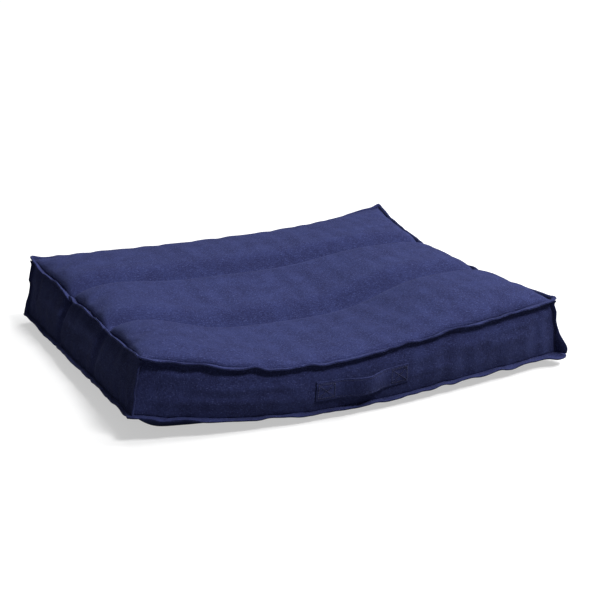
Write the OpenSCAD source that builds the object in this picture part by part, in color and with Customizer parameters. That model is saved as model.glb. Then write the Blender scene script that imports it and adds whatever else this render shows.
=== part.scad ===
// Pet cushion bed: a boxed cover with raised seams, a three-chamber insert, a zip and a carry handle.
// The origin is on the floor under the middle of the bed. The front, with the handle, faces -Y.

/* [Bed] */
// Width of the bed along its front
bed_w = 914; // [600:1:1200]
// Depth of the bed from front to back
bed_d = 737; // [480:1:960]
// Height of the side panels between the lower and the upper seam
side_h = 107; // [80:1:150]
// Height of the lower seam above the floor
low_seam_z = 25; // [20:1:40]
// Rise of the filled top above the upper seam
crown_h = 40; // [10:1:60]
// Depth of the valley in the top above each inner wall
valley_depth = 20; // [0:1:24]
// Depth of the hollow that a pet has slept into the bed
hollow_depth = 46; // [0:1:60]
// Depth of the notch that a valley leaves in the side seams
notch_depth = 9; // [0:1:16]

/* [Settled shape] */
// How far the front bows out at its middle
front_bow = 56; // [0:1:90]
// How far the upper seam leans in over the lower one at each side
side_lean = 10; // [0:1:24]
// How far the lower seam spreads out at each side
side_spread = 8; // [0:1:20]
// How much further each side pulls in at its middle
side_pull = 14; // [0:1:30]
// Outward swell of the side panels between their seams
side_swell = 9; // [0:1:20]
// Rise of the front left corner
front_left_lift = 32; // [0:1:45]
// Rise of the front right corner
front_right_lift = 11; // [0:1:45]
// Rise of the back left corner
back_left_lift = 16; // [0:1:45]
// Rise of the back right corner
back_right_lift = 44; // [0:1:50]
// Sag of the upper seam along the front
front_sag = 22; // [0:1:30]

/* [Fabric] */
// Thickness of the cover fabric
cover_t = 1.6; // [1:0.1:3]
// Thickness of the insert's fabric
insert_t = 0.8; // [0.5:0.1:1.5]
// Thickness of the insert's inner walls
baffle_t = 1.2; // [0.8:0.1:2]
// Room between the cover's side panels and the insert
side_room = 3.4; // [3:0.1:8]
// Room between the cover's top or bottom and the insert
top_room = 3; // [0.3:0.1:6]
// Room between the insert's fabric and its fibre
fill_room = 1.2; // [0.4:0.1:2]
// Height that the seam flanges stand out from the cover
flange_h = 8; // [3:0.5:14]
// Angle of the upper flange above level
upper_flange_angle = 50; // [30:1:70]
// Angle of the lower flange below level
lower_flange_angle = 18; // [0:1:40]

/* [Handle] */
// Length of the handle between its sewn ends' outer edges
handle_l = 200; // [140:1:260]
// Width of the handle's webbing
handle_w = 40; // [25:1:48]
// Thickness of the handle's webbing
handle_t = 2.4; // [1.5:0.1:4]
// Length of each sewn end
sewn_l = 42; // [24:1:60]
// Place of the handle's middle along the front, from the bed's middle
handle_x = -30; // [-120:1:120]
// How far the loose middle of the handle stands off the front at rest
handle_off = 12; // [9:0.5:20]
// Gap between a sewn end and the front panel, and between a sewn end and the loose middle
handle_gap = 0.6; // [0.5:0.1:1.5]
// Thickness of the sewing thread
thread_t = 0.9; // [0.5:0.1:1.5]

/* [Zip] */
// Length of the zip's opening in the back
zip_l = 700; // [400:1:760]
// Height of the zip's middle above the floor
zip_z = 76; // [60:1:90]
// Height of the slot that shows the zip
slot_h = 12; // [11.5:0.5:16]
// Width of each tape
tape_w = 15; // [12:0.5:20]
// Thickness of the tapes
tape_t = 0.8; // [0.5:0.1:1.2]
// Height of each row of teeth
row_h = 2.4; // [1.5:0.1:3]
// Depth of the rows of teeth
row_t = 2; // [1.2:0.1:2.5]
// Gap between the two rows
row_gap = 1.4; // [1.2:0.1:2]
// Length of the slider
slider_l = 14; // [10:0.5:18]
// Thickness of the slider's plates and lips
slider_t = 1.1; // [0.8:0.1:1.5]
// Running gap around the slider
slider_gap = 0.4; // [0.3:0.05:0.6]
// Length of the pull from its pivot to its end
pull_l = 30; // [18:1:45]
// Width of the pull
pull_w = 8; // [6:0.5:10]
// Thickness of the pull
pull_t = 1.4; // [1:0.1:2]
// Radius of the pull's pivot pin
pin_r = 0.8; // [0.6:0.05:1]

/* [Hidden] */

// Steps of the surface grids: across the bed, along each chamber, up the sides
across = 20;
per_chamber = 6;
up = 6;
chambers = 3;
// The inner walls stand at a third of the half depth, as v runs from -1 at the front to 1 at the back
wall_v = 1 / 3;
// Share of each half of the bottom that lies flat on the floor
flat_share = 0.8;
// Where along the front the sag and the bow are deepest, as a share of the half width
sag_u = -0.3;
bow_skew = 0.25;
// Where the hollow is deepest, as a share of the half width
hollow_u = -0.18;
// The valley behind the front chamber is shallower at the side seams than the one in front of the back chamber
front_notch_share = 0.45;
seam_z = low_seam_z + side_h;

cover_colour = [0.15, 0.17, 0.36];
flange_colour = [0.2, 0.22, 0.43];
trim_colour = [0.1, 0.11, 0.22];
insert_colour = [0.86, 0.85, 0.82];
fibre_colour = [0.96, 0.96, 0.96];
metal_colour = [0.6, 0.6, 0.62];

// ---- The settled shape: u, v and w run across, back and up through the bed ----
function smooth_steps(a, b, n) = [for (i = [0:n]) a + (b - a) * (1 - cos(180 * i / n)) / 2];
function even_steps(a, b, n) = [for (i = [0:n]) a + (b - a) * i / n];
function chamber_steps(c) = smooth_steps(-1 + 2 * c / chambers, -1 + 2 * (c + 1) / chambers, per_chamber);
function drop_first(list) = [for (i = [1:len(list) - 1]) list[i]];

us = smooth_steps(-1, 1, across);
vs = concat([-1], [for (c = [0:chambers - 1]) each drop_first(chamber_steps(c))]);
ws = even_steps(0, 1, up);

function corner(u, v, su, sv, p) = pow((1 + su * u) / 2, p) * pow((1 + sv * v) / 2, p);
function bump(x, middle, spread) = exp(-pow((x - middle) / spread, 2));
function front_share(v) = pow((1 - v) / 2, 2);
function rounded_edge(x, p) = sqrt(max(0, 1 - pow(abs(x), p)));

// Height of the upper seam's surface before the fill crowns it
function seam_lift(u, v) =
  front_left_lift * corner(u, v, -1, -1, 6)
  + front_right_lift * corner(u, v, 1, -1, 6)
  + back_left_lift * corner(u, v, -1, 1, 6)
  + back_right_lift * corner(u, v, 1, 1, 6)
  - front_sag * pow((1 - v) / 2, 6) * bump(u, sag_u, 0.5);

function notch(u, v) =
  notch_depth * pow(abs(u), 10) * (bump(v, wall_v, 0.06) + front_notch_share * bump(v, -wall_v, 0.06));

function hollow(u, v) = hollow_depth * exp(-pow((u - hollow_u) / 0.56, 4)) * bump(v, -0.45, 0.75);
function crown(u, v) =
  rounded_edge(u, 8)
  * (rounded_edge(v, 6) * (crown_h - hollow(u, v)) - valley_depth * bump(abs(v), wall_v, 0.09));

function top_z(u, v) = seam_z + seam_lift(u, v) - notch(u, v) + crown(u, v);

// The lower seam keeps clear of the floor, and the bottom bellies down from it to a flat patch
function low_lift(u, v) =
  0.85 * front_left_lift * pow((1 - u) / 2, 5) * pow((1 - v) / 2, 1.5)
  - 0.4 * front_sag * pow((1 - v) / 2, 6) * bump(u, sag_u, 0.5);
function rise(x) = pow(max(0, (abs(x) - flat_share) / (1 - flat_share)), 2);
function bottom_z(u, v) = (low_seam_z + low_lift(u, v)) * max(rise(u), rise(v));

// A point of the bed, moved inward by in = [across, back, up]
function side_x(v, w) =
  bed_w / 2 + side_spread - (side_spread + side_lean) * w - side_pull * w * (1 - v * v)
  + side_swell * sin(180 * w) * (1 - pow(v, 4));
function front_y(u, w) =
  front_bow * (1 - u * u) * (1 - bow_skew * u) + side_swell * sin(180 * w) * (1 - pow(u, 8));
function bed_point(u, v, w, in) = [
  u * (side_x(v, w) - in[0]),
  middle_y + v * (bed_d / 2 - in[1]) - front_y(u, w) * front_share(v),
  (1 - w) * (bottom_z(u, v) + in[2]) + w * (top_z(u, v) - in[2])
];
function wall_height(u) = top_z(u, -1) - bottom_z(u, -1);

// The handle reaches furthest forward and the lower flange furthest back, and the origin lies midway between
handle_w_mid = 0.45;
front_reach = bed_d / 2 + front_y(handle_x / (bed_w / 2), handle_w_mid) + handle_off + handle_t;
back_reach = bed_d / 2 + flange_h * cos(lower_flange_angle);
middle_y = (front_reach - back_reach) / 2;

// ---- Solids from points ----
// A closed solid from a block of points, block[i][j][k]
module block_solid(block) {
  ni = len(block) - 1;
  nj = len(block[0]) - 1;
  nk = len(block[0][0]) - 1;
  function at(i, j, k) = (i * (nj + 1) + j) * (nk + 1) + k;
  function split(a, b, c, d) = [[a, b, c], [a, c, d]];
  polyhedron(
    points = [for (i = [0:ni]) for (j = [0:nj]) for (k = [0:nk]) block[i][j][k]],
    faces = concat(
      [for (i = [0:ni - 1]) for (j = [0:nj - 1]) each
        split(at(i, j, nk), at(i, j + 1, nk), at(i + 1, j + 1, nk), at(i + 1, j, nk))],
      [for (i = [0:ni - 1]) for (j = [0:nj - 1]) each
        split(at(i, j, 0), at(i + 1, j, 0), at(i + 1, j + 1, 0), at(i, j + 1, 0))],
      [for (i = [0:ni - 1]) for (k = [0:nk - 1]) each
        split(at(i, 0, k), at(i, 0, k + 1), at(i + 1, 0, k + 1), at(i + 1, 0, k))],
      [for (i = [0:ni - 1]) for (k = [0:nk - 1]) each
        split(at(i, nj, k), at(i + 1, nj, k), at(i + 1, nj, k + 1), at(i, nj, k + 1))],
      [for (j = [0:nj - 1]) for (k = [0:nk - 1]) each
        split(at(0, j, k), at(0, j + 1, k), at(0, j + 1, k + 1), at(0, j, k + 1))],
      [for (j = [0:nj - 1]) for (k = [0:nk - 1]) each
        split(at(ni, j, k), at(ni, j, k + 1), at(ni, j + 1, k + 1), at(ni, j + 1, k))]
    )
  );
}

// A solid swept through cross-sections of the same number of points, joined end to end when ring is true
module swept_solid(sections, ring = false) {
  n = len(sections);
  m = len(sections[0]);
  function at(s, p) = (s % n) * m + (p % m);
  last = ring ? n - 1 : n - 2;
  polyhedron(
    points = [for (section = sections) each section],
    faces = concat(
      [for (s = [0:last]) for (p = [0:m - 1]) each [
        [at(s, p), at(s, p + 1), at(s + 1, p + 1)],
        [at(s, p), at(s + 1, p + 1), at(s + 1, p)]
      ]],
      ring ? [] : [[for (p = [m - 1:-1:0]) at(0, p)], [for (p = [0:m - 1]) at(n - 1, p)]]
    )
  );
}

// ---- Cover ----
// The cover's panels stop one fabric thickness short of each seam, where the flanges join them
module top_panel() {
  color(cover_colour)
  block_solid([for (u = us) [for (v = vs) [
    for (z = [cover_t, 0]) bed_point(u, v, 1, [cover_t, cover_t, z])]]]);
}

module bottom_panel() {
  color(cover_colour)
  block_solid([for (u = us) [for (v = vs) [
    for (z = [0, cover_t]) bed_point(u, v, 0, [cover_t, cover_t, z])]]]);
}

module front_gusset() {
  color(cover_colour)
  block_solid([for (u = us) [for (y = [0, cover_t]) [
    for (w = ws) bed_point(u, -1, w, [cover_t, y, cover_t])]]]);
}

module side_gusset(side) {
  color(cover_colour)
  block_solid([for (x = side < 0 ? [0, cover_t] : [cover_t, 0]) [for (v = vs) [
    for (w = ws) bed_point(side, v, w, [x, cover_t, cover_t])]]]);
}

back_y = middle_y + bed_d / 2;

// The back is flat, so its panels are cut from flat outlines, drawn as x and z
module back_sheet(outline) {
  color(cover_colour)
  translate([0, back_y, 0])
  rotate([90, 0, 0])
  linear_extrude(cover_t)
  polygon(outline);
}

function across_up(p) = [p[0], p[2]];
function back_edge(u, w) = across_up(bed_point(u, 1, w, [cover_t, cover_t, cover_t]));
// The seam's height at the zip's ends, between two of its points
function edge_at(x, w) =
  let (edge = [for (u = us) back_edge(u, w)])
  lookup(x, [for (p = edge) [p[0], p[1]]]);
function edge_between(x0, x1, w) = concat(
  [[x0, edge_at(x0, w)]],
  [for (u = us) let (p = back_edge(u, w)) if (p[0] > x0 + 0.01 && p[0] < x1 - 0.01) p],
  [[x1, edge_at(x1, w)]]
);
function reversed(list) = [for (i = [len(list) - 1:-1:0]) list[i]];

module back_gusset_upper() {
  back_sheet(concat(
    [[zip_l / 2, zip_z + slot_h / 2], [-zip_l / 2, zip_z + slot_h / 2]],
    edge_between(-zip_l / 2, zip_l / 2, 1)
  ));
}

module back_gusset_lower() {
  back_sheet(concat(
    [[-zip_l / 2, zip_z - slot_h / 2], [zip_l / 2, zip_z - slot_h / 2]],
    reversed(edge_between(-zip_l / 2, zip_l / 2, 0))
  ));
}

module back_gusset_end(side) {
  inner = side * zip_l / 2;
  top_end = back_edge(side, 1);
  low_end = back_edge(side, 0);
  back_sheet(side < 0
    ? concat(edge_between(top_end[0], inner, 1), reversed(edge_between(low_end[0], inner, 0)))
    : concat(edge_between(inner, top_end[0], 1), reversed(edge_between(inner, low_end[0], 0))));
}

// The way round the bed's edge: u, v and the outward direction, with the corners mitred
edge_round = concat(
  [for (i = [0:across]) [us[i], -1, i == 0 ? -1 : i == across ? 1 : 0, -1]],
  [for (j = [1:len(vs) - 2]) [1, vs[j], 1, 0]],
  [for (i = [across:-1:0]) [us[i], 1, i == 0 ? -1 : i == across ? 1 : 0, 1]],
  [for (j = [len(vs) - 2:-1:1]) [-1, vs[j], -1, 0]]
);

module seam_flange(w, angle) {
  t = cover_t;
  sections = [for (e = edge_round)
    let (
      out = flange_h * [e[2] * cos(angle), e[3] * cos(angle), sin(angle)],
      panel_edge = bed_point(e[0], e[1], w, [t, t, 0]),
      inner_edge = bed_point(e[0], e[1], w, [t, t, t]),
      gusset_edge = bed_point(e[0], e[1], w, [e[2] == 0 ? t : 0, e[3] == 0 ? t : 0, t])
    )
    [panel_edge, inner_edge, gusset_edge, gusset_edge + out, panel_edge + out]
  ];
  color(flange_colour)
  swept_solid(w == 1 ? sections : [for (s = sections) reversed(s)], ring = true);
}

module upper_flange() {
  seam_flange(1, upper_flange_angle);
}

module lower_flange() {
  seam_flange(0, -lower_flange_angle);
}

module corner_flange(su, sv) {
  t = cover_t;
  out = flange_h * [su, sv, 0] / sqrt(2);
  sections = [for (w = [0, 1])
    let (
      side_edge = bed_point(su, sv, w, [0, t, t]),
      inner_edge = bed_point(su, sv, w, [t, t, t]),
      end_edge = bed_point(su, sv, w, [t, 0, t])
    )
    [side_edge, inner_edge, end_edge, end_edge + out, side_edge + out]
  ];
  color(flange_colour)
  swept_solid(su * sv > 0 ? sections : [for (s = sections) reversed(s)]);
}

// ---- Handle ----
// A point of the webbing: along its length in millimetres from its middle, across its width, and off the front
function handle_point(along, across_w, off) =
  let (
    u = (handle_x + along) / (bed_w / 2),
    w = handle_w_mid + across_w / wall_height(u),
    p = bed_point(u, -1, w, [0, 0, cover_t])
  )
  [p[0], p[1] - off, p[2]];

loose_l = handle_l - 2 * sewn_l;
// The stitches: their seat over the webbing, inset from its edge, share of each step, and inset of the cross
stitch_seat = 0.05;
stitch_margin = 4;
stitch_share = 0.62;
cross_inset = 0.09;
function stand_off(along) =
  handle_gap + (handle_off - handle_gap) * (abs(along) < loose_l / 2 ? pow(cos(180 * along / loose_l), 2) : 0);

module webbing(from, to, steps) {
  color(cover_colour)
  swept_solid([for (a = even_steps(from, to, steps)) concat(
    [for (c = even_steps(-handle_w / 2, handle_w / 2, 4)) handle_point(a, c, stand_off(a) + handle_t)],
    [for (c = even_steps(handle_w / 2, -handle_w / 2, 4)) handle_point(a, c, stand_off(a))]
  )]);
}

module handle_end(side) {
  inner = side * (loose_l / 2 + handle_gap / 2);
  outer = side * handle_l / 2;
  webbing(min(inner, outer), max(inner, outer), 3);
}

module handle_grip() {
  half = loose_l / 2 - handle_gap / 2;
  webbing(-half, half, 14);
}

// A row of stitches on the webbing's face between two points given as [along, across]
module stitch_row(a, b, count) {
  along = (b - a) / norm(b - a);
  half = thread_t / 2 * [-along[1], along[0]];
  rest = handle_gap + handle_t + stitch_seat;
  for (i = [0:count - 1])
    swept_solid([for (end = [-1, 1])
      let (p = a + (b - a) * (i + 0.5 + end * stitch_share / 2) / count) [
        handle_point(p[0] - half[0], p[1] - half[1], rest + thread_t),
        handle_point(p[0] + half[0], p[1] + half[1], rest + thread_t),
        handle_point(p[0] + half[0], p[1] + half[1], rest),
        handle_point(p[0] - half[0], p[1] - half[1], rest)
      ]]);
}

// A sewn square with a cross in it
module handle_stitching(side) {
  x0 = side * (loose_l / 2 + stitch_margin);
  x1 = side * (handle_l / 2 - stitch_margin);
  half = handle_w / 2 - stitch_margin;
  ends = [[x0, -half], [x1, -half], [x1, half], [x0, half]];
  color(trim_colour) {
    for (i = [0:3]) stitch_row(ends[i], ends[(i + 1) % 4], 4);
    for (i = [0:1])
      let (a = ends[i], b = ends[i + 2])
      stitch_row(a + (b - a) * cross_inset, b - (b - a) * cross_inset, 4);
  }
}

// ---- Zip ----
tape_y = back_y - cover_t;
// The slider's plates lie outside the teeth and inside the tapes
outer_plate_y = tape_y + row_t + slider_gap;
inner_plate_y = tape_y - tape_t - slider_gap - slider_t;
slider_w = row_gap + 2 * row_h + 2 * slider_gap + 2 * slider_t;
stop_l = 4;
end_margin = 3;
slider_x = zip_l / 2 - end_margin - stop_l - slider_l / 2 - 1;
// Distance that the slider travels from shut to open
zip_travel = 2 * slider_x;
pin_clear = 0.06;
eye_r = pin_r + 1;
pivot_y = outer_plate_y + slider_t + eye_r + slider_gap;
ear_t = 1;
ear_gap = 0.35;

module tape(side) {
  z0 = zip_z + side * row_gap / 2;
  z1 = zip_z + side * (row_gap / 2 + tape_w);
  color(trim_colour)
  translate([-zip_l / 2, tape_y - tape_t, min(z0, z1)])
  cube([zip_l, tape_t, tape_w]);
}

module teeth(side) {
  z0 = side > 0 ? zip_z + row_gap / 2 : zip_z - row_gap / 2 - row_h;
  color(trim_colour)
  translate([-zip_l / 2 + end_margin + stop_l, tape_y, z0])
  cube([zip_l - 2 * end_margin - 2 * stop_l, row_t, row_h]);
}

module zip_stops() {
  h = row_gap + 2 * row_h;
  color(metal_colour)
  for (side = [-1, 1])
    translate([side * (zip_l / 2 - end_margin - stop_l / 2), tape_y + row_t / 2, zip_z])
    cube([stop_l, row_t, h], center = true);
}

// Two plates joined by a post between the rows, with lips round the teeth and two ears that hold the pin
module zip_slider() {
  lip_outer = row_t - slider_gap;
  color(metal_colour)
  translate([slider_x, 0, zip_z])
  union() {
    translate([-slider_l / 2, outer_plate_y, -slider_w / 2])
    cube([slider_l, slider_t, slider_w]);
    translate([-slider_l / 2, inner_plate_y, -slider_w / 2])
    cube([slider_l, slider_t, slider_w]);
    for (side = [-1, 1])
      translate([-slider_l / 2, tape_y + slider_gap, side * (slider_w - slider_t) / 2 - slider_t / 2])
      cube([slider_l, lip_outer + slider_gap, slider_t]);
    translate([slider_l / 2 - 2, inner_plate_y, -(row_gap - 2 * slider_gap) / 2])
    cube([2, outer_plate_y + slider_t - inner_plate_y, row_gap - 2 * slider_gap]);
    for (side = [-1, 1])
      translate([0, 0, side * (pull_w / 2 + ear_gap + ear_t / 2) - ear_t / 2])
      ear();
    translate([0, pivot_y, -pull_w / 2 - ear_gap - ear_t / 2])
    cylinder(r = pin_r, h = pull_w + 2 * ear_gap + ear_t, $fn = 32);
  }
}

module ear() {
  base_y = outer_plate_y + slider_t / 2;
  translate([-eye_r, base_y, 0])
  cube([2 * eye_r, pivot_y - base_y, ear_t]);
  translate([0, pivot_y, 0])
  cylinder(r = eye_r, h = ear_t, $fn = 32);
}

// The pull lies towards +X, past the shut end
module zip_pull() {
  color(metal_colour)
  translate([slider_x, pivot_y, zip_z])
  difference() {
    union() {
      translate([0, 0, -pull_w / 2])
      cylinder(r = eye_r, h = pull_w, $fn = 32);
      translate([0, -pull_t / 2, -pull_w / 2])
      cube([pull_l - pull_w / 2, pull_t, pull_w]);
      translate([pull_l - pull_w / 2, pull_t / 2, 0])
      rotate([90, 0, 0])
      cylinder(d = pull_w, h = pull_t, $fn = 48);
    }
    translate([0, 0, -pull_w / 2 - 1])
    cylinder(r = pin_r + pin_clear, h = pull_w + 2, $fn = 32);
    translate([pull_l - pull_w / 2, pull_t, 0])
    rotate([90, 0, 0])
    cylinder(d = pull_w / 2, h = 2 * pull_t, $fn = 32);
  }
}

// ---- Insert ----
insert_side = cover_t + side_room;
insert_level = cover_t + top_room;
fill_side = insert_side + insert_t + fill_room;
fill_level = insert_level + insert_t + fill_room;
function insert_in(depth) = [insert_side + depth, insert_side + depth, insert_level + depth];

module insert_top() {
  color(insert_colour)
  block_solid([for (u = us) [for (v = vs) [
    for (depth = [insert_t, 0]) bed_point(u, v, 1, insert_in(depth))]]]);
}

module insert_bottom() {
  color(insert_colour)
  block_solid([for (u = us) [for (v = vs) [
    for (depth = [0, insert_t]) bed_point(u, v, 0, insert_in(depth))]]]);
}

module insert_band() {
  color(insert_colour)
  swept_solid([for (e = edge_round) concat(
    [for (w = ws) bed_point(e[0], e[1], w, insert_in(0))],
    [for (w = reversed(ws)) bed_point(e[0], e[1], w, insert_in(insert_t))]
  )], ring = true);
}

// The inner walls hold the fibre in three chambers
module baffle(v) {
  half = baffle_t / bed_d;
  touch = 0.05;
  in = insert_in(insert_t + touch);
  color(insert_colour)
  block_solid([for (u = us) [for (s = [-half, half]) [for (w = ws) bed_point(u, v + s, w, in)]]]);
}

module fill(c) {
  gap = 2 * (baffle_t / 2 + fill_room) / bed_d;
  low = c == 0 ? -1 : -1 + 2 * c / chambers + gap;
  high = c == chambers - 1 ? 1 : -1 + 2 * (c + 1) / chambers - gap;
  in = [fill_side, fill_side, fill_level];
  color(fibre_colour)
  block_solid([for (u = us) [for (v = smooth_steps(low, high, per_chamber)) [
    for (w = ws) bed_point(u, v, w, in)]]]);
}

top_panel();
bottom_panel();
front_gusset();
side_gusset(-1);  // left_gusset
side_gusset(1);  // right_gusset
back_gusset_upper();
back_gusset_lower();
back_gusset_end(-1);  // back_gusset_left_end
back_gusset_end(1);  // back_gusset_right_end
upper_flange();
lower_flange();
corner_flange(-1, -1);  // corner_flange_front_left
corner_flange(1, -1);  // corner_flange_front_right
corner_flange(-1, 1);  // corner_flange_back_left
corner_flange(1, 1);  // corner_flange_back_right
handle_end(-1);  // handle_left_end
handle_end(1);  // handle_right_end
handle_grip();
handle_stitching(-1);  // handle_left_stitching
handle_stitching(1);  // handle_right_stitching
tape(1);  // zip_upper_tape
tape(-1);  // zip_lower_tape
teeth(1);  // zip_upper_teeth
teeth(-1);  // zip_lower_teeth
zip_stops();
zip_slider();
zip_pull();
insert_top();
insert_bottom();
insert_band();
baffle(-wall_v);  // front_baffle
baffle(wall_v);  // back_baffle
fill(0);  // front_fill
fill(1);  // middle_fill
fill(2);  // back_fill
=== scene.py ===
"""A cushion bed for a pet: a sewn cover with standing seam flanges, a handle and a zip, over a filled insert.

Everything is in metres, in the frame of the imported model. The shape is worked out once, in settled(),
and every soft piece is cut from it, one inside the other.
"""

import math

import bpy
import numpy as np
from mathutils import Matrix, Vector


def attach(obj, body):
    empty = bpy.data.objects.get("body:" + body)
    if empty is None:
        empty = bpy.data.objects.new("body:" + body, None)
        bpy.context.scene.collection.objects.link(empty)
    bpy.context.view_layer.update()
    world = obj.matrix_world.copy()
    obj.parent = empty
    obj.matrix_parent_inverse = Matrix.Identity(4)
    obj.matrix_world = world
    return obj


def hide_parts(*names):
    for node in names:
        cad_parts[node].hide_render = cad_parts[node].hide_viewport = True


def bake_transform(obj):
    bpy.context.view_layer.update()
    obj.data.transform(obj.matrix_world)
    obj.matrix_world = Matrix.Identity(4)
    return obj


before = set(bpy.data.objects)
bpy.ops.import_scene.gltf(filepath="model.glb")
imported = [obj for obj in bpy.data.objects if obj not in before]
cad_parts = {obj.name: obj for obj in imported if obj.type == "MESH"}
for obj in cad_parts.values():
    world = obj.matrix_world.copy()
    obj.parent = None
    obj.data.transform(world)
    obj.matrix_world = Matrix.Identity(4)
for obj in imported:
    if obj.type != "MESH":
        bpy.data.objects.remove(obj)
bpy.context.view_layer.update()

# ---- Sizes ----
BED_W, BED_D, SIDE_H = 0.914, 0.737, 0.107
MIDDLE_Y = 0.036177
BACK_Y = MIDDLE_Y + BED_D / 2
LOW_SEAM_Z = 0.025
SEAM_Z = LOW_SEAM_Z + SIDE_H
CROWN_H = 0.040
VALLEY_DEPTH = 0.034
NOTCH_DEPTH = 0.016
FRONT_BOW, BOW_SKEW = 0.056, 0.25
SIDE_LEAN, SIDE_SPREAD, SIDE_PULL, SIDE_SWELL = 0.010, 0.008, 0.014, 0.009
CORNER_LIFTS = ((-1, -1, 0.032), (1, -1, 0.011), (-1, 1, 0.016), (1, 1, 0.044))
FRONT_SAG, SAG_U = 0.022, -0.3
HOLLOW_DEPTH, HOLLOW_U = 0.046, -0.18
WALL_V = 1 / 3
FLAT_SHARE = 0.8

# How far the fibre heaves the top, and the side panels puff, pinch at the inner walls and tuck under the seam
HEAVE, PUFF, PINCH, TUCK = 0.0013, 0.0024, 0.009, 0.0035
# How far the filled cover may sink, stand out and slide
SINK_MOST, SWELL_MOST, SLIDE_MOST = 0.0035, 0.007, 0.006

COVER_T = 0.0016
FLANGE_H, FLANGE_STEP = 0.0105, 0.0035
# Where the lower flange stands out in an ear, by how much and over what width
DOG_EAR = ((0.457, -0.332), 0.014, 0.022)
INSERT_T = 0.0008
INSERT_IN = (0.009, 0.009, 0.0062)
FIBRE_IN = (0.0115, 0.0115, 0.0085)

HANDLE_L, HANDLE_W, HANDLE_T = 0.200, 0.040, 0.0024
HANDLE_X, HANDLE_OFF, HANDLE_GAP, HANDLE_W_MID = -0.030, 0.016, 0.0006, 0.45
SEWN_L = 0.042
LOOSE_L = HANDLE_L - 2 * SEWN_L
# How much the loose strap leans, and how far from its middle its edge stitches run
STRAP_LEAN, EDGE_STITCH = 0.12, HANDLE_W * 0.4

ZIP_L, ZIP_Z, SLOT_H = 0.700, 0.076, 0.012
ROW_H, ROW_T, ROW_GAP, TOOTH_PITCH = 0.0024, 0.002, 0.0014, 0.0015
SLIDER_X, PIVOT_Y = 0.335, 0.408777

# Steps of the cover's lattice across, back and up
NU, NV, NW = 100, 96, 14
# Rows of the back panel that meet the zip's opening
ZIP_LOW, ZIP_HIGH = 6, 8


# ---- Shape ----
def knots(seed, *shape):
    return np.random.default_rng(seed).uniform(-1, 1, shape)


def drift(x, length, seed):
    """Smooth change from -1 to 1 along x, about one hump for each length."""
    p = np.asarray(x, float) / length
    i = np.floor(p).astype(int)
    f = p - i
    f = f * f * (3 - 2 * f)
    k = knots(seed, 512)
    return k[i % 512] * (1 - f) + k[(i + 1) % 512] * f


def lumps(x, y, size, seed):
    """Smooth change from -1 to 1 over a surface, about one hump for each size."""
    p, q = np.asarray(x, float) / size, np.asarray(y, float) / size
    i, j = np.floor(p).astype(int), np.floor(q).astype(int)
    f, g = p - i, q - j
    f, g = f * f * (3 - 2 * f), g * g * (3 - 2 * g)
    k = knots(seed, 96, 96)
    low = k[i % 96, j % 96] * (1 - f) + k[(i + 1) % 96, j % 96] * f
    high = k[i % 96, (j + 1) % 96] * (1 - f) + k[(i + 1) % 96, (j + 1) % 96] * f
    return low * (1 - g) + high * g


def corner(u, v, su, sv, p):
    return ((1 + su * u) / 2) ** p * ((1 + sv * v) / 2) ** p


def bump(x, middle, spread):
    return np.exp(-(((x - middle) / spread) ** 2))


def rounded_edge(x, p):
    return np.sqrt(np.clip(1 - np.abs(x) ** p, 0, 1))


def sag(u, v):
    return FRONT_SAG * ((1 - v) / 2) ** 6 * bump(u, SAG_U, 0.5)


def top_z(u, v):
    lift = sum(h * corner(u, v, su, sv, 6) for su, sv, h in CORNER_LIFTS) - sag(u, v)
    notch = NOTCH_DEPTH * np.abs(u) ** 10 * (bump(v, WALL_V, 0.034) + 0.45 * bump(v, -WALL_V, 0.04))
    valley = VALLEY_DEPTH * bump(np.abs(v), WALL_V, 0.07)
    hollow = HOLLOW_DEPTH * np.exp(-(((u - HOLLOW_U) / 0.56) ** 4)) * bump(v, -0.45, 0.75)
    crown = rounded_edge(u, 8) * (rounded_edge(v, 6) * (CROWN_H - hollow) - valley)
    return SEAM_Z + lift - notch + crown


def bottom_z(u, v):
    lift = 0.85 * CORNER_LIFTS[0][2] * ((1 - u) / 2) ** 5 * ((1 - v) / 2) ** 1.5 - 0.4 * sag(u, v)
    rise = [np.clip((np.abs(x) - FLAT_SHARE) / (1 - FLAT_SHARE), 0, 1) ** 2 for x in (u, v)]
    return (LOW_SEAM_Z + lift) * np.maximum(*rise)


def settled(u, v, w, inset=(0, 0, 0)):
    """A point of the filled bed. u, v and w run across (-1 to 1), back (-1 to 1) and up (0 to 1)."""
    u, v, w = np.broadcast_arrays(*(np.asarray(a, float) for a in (u, v, w)))
    side_x = (
        BED_W / 2 + SIDE_SPREAD - (SIDE_SPREAD + SIDE_LEAN) * w
        - SIDE_PULL * w * (1 - v**2) + SIDE_SWELL * np.sin(np.pi * w) * (1 - v**4)
    )
    bow = FRONT_BOW * (1 - u**2) * (1 - BOW_SKEW * u) + SIDE_SWELL * np.sin(np.pi * w) * (1 - u**8)
    x = u * (side_x - inset[0])
    y = MIDDLE_Y + v * (BED_D / 2 - inset[1]) - bow * ((1 - v) / 2) ** 2
    # The fibre lies in lumps a hand wide, and the side panels puff between their seams
    heave = HEAVE * lumps(x + 3, y + 3, 0.15, 3) * rounded_edge(u, 8) * rounded_edge(v, 6)
    puff = PUFF * np.sin(np.pi * w)
    # Each inner wall draws the sides in
    pinch = PINCH * (bump(v, WALL_V, 0.032) + 0.5 * bump(v, -WALL_V, 0.04)) * (0.35 + 0.65 * w)
    x = x + np.sign(u) * np.abs(u) ** 30 * (puff * lumps(y + 3, w, 0.11, 5) - pinch)
    y = y - puff * np.clip(-v, 0, 1) ** 30 * lumps(x + 3, w, 0.09, 7) * (1 - bump(x, HANDLE_X, 0.11))
    z = (1 - w) * (bottom_z(u, v) + inset[2]) + w * (top_z(u, v) + heave - inset[2])
    return np.stack([x, y, z], -1)


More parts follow.
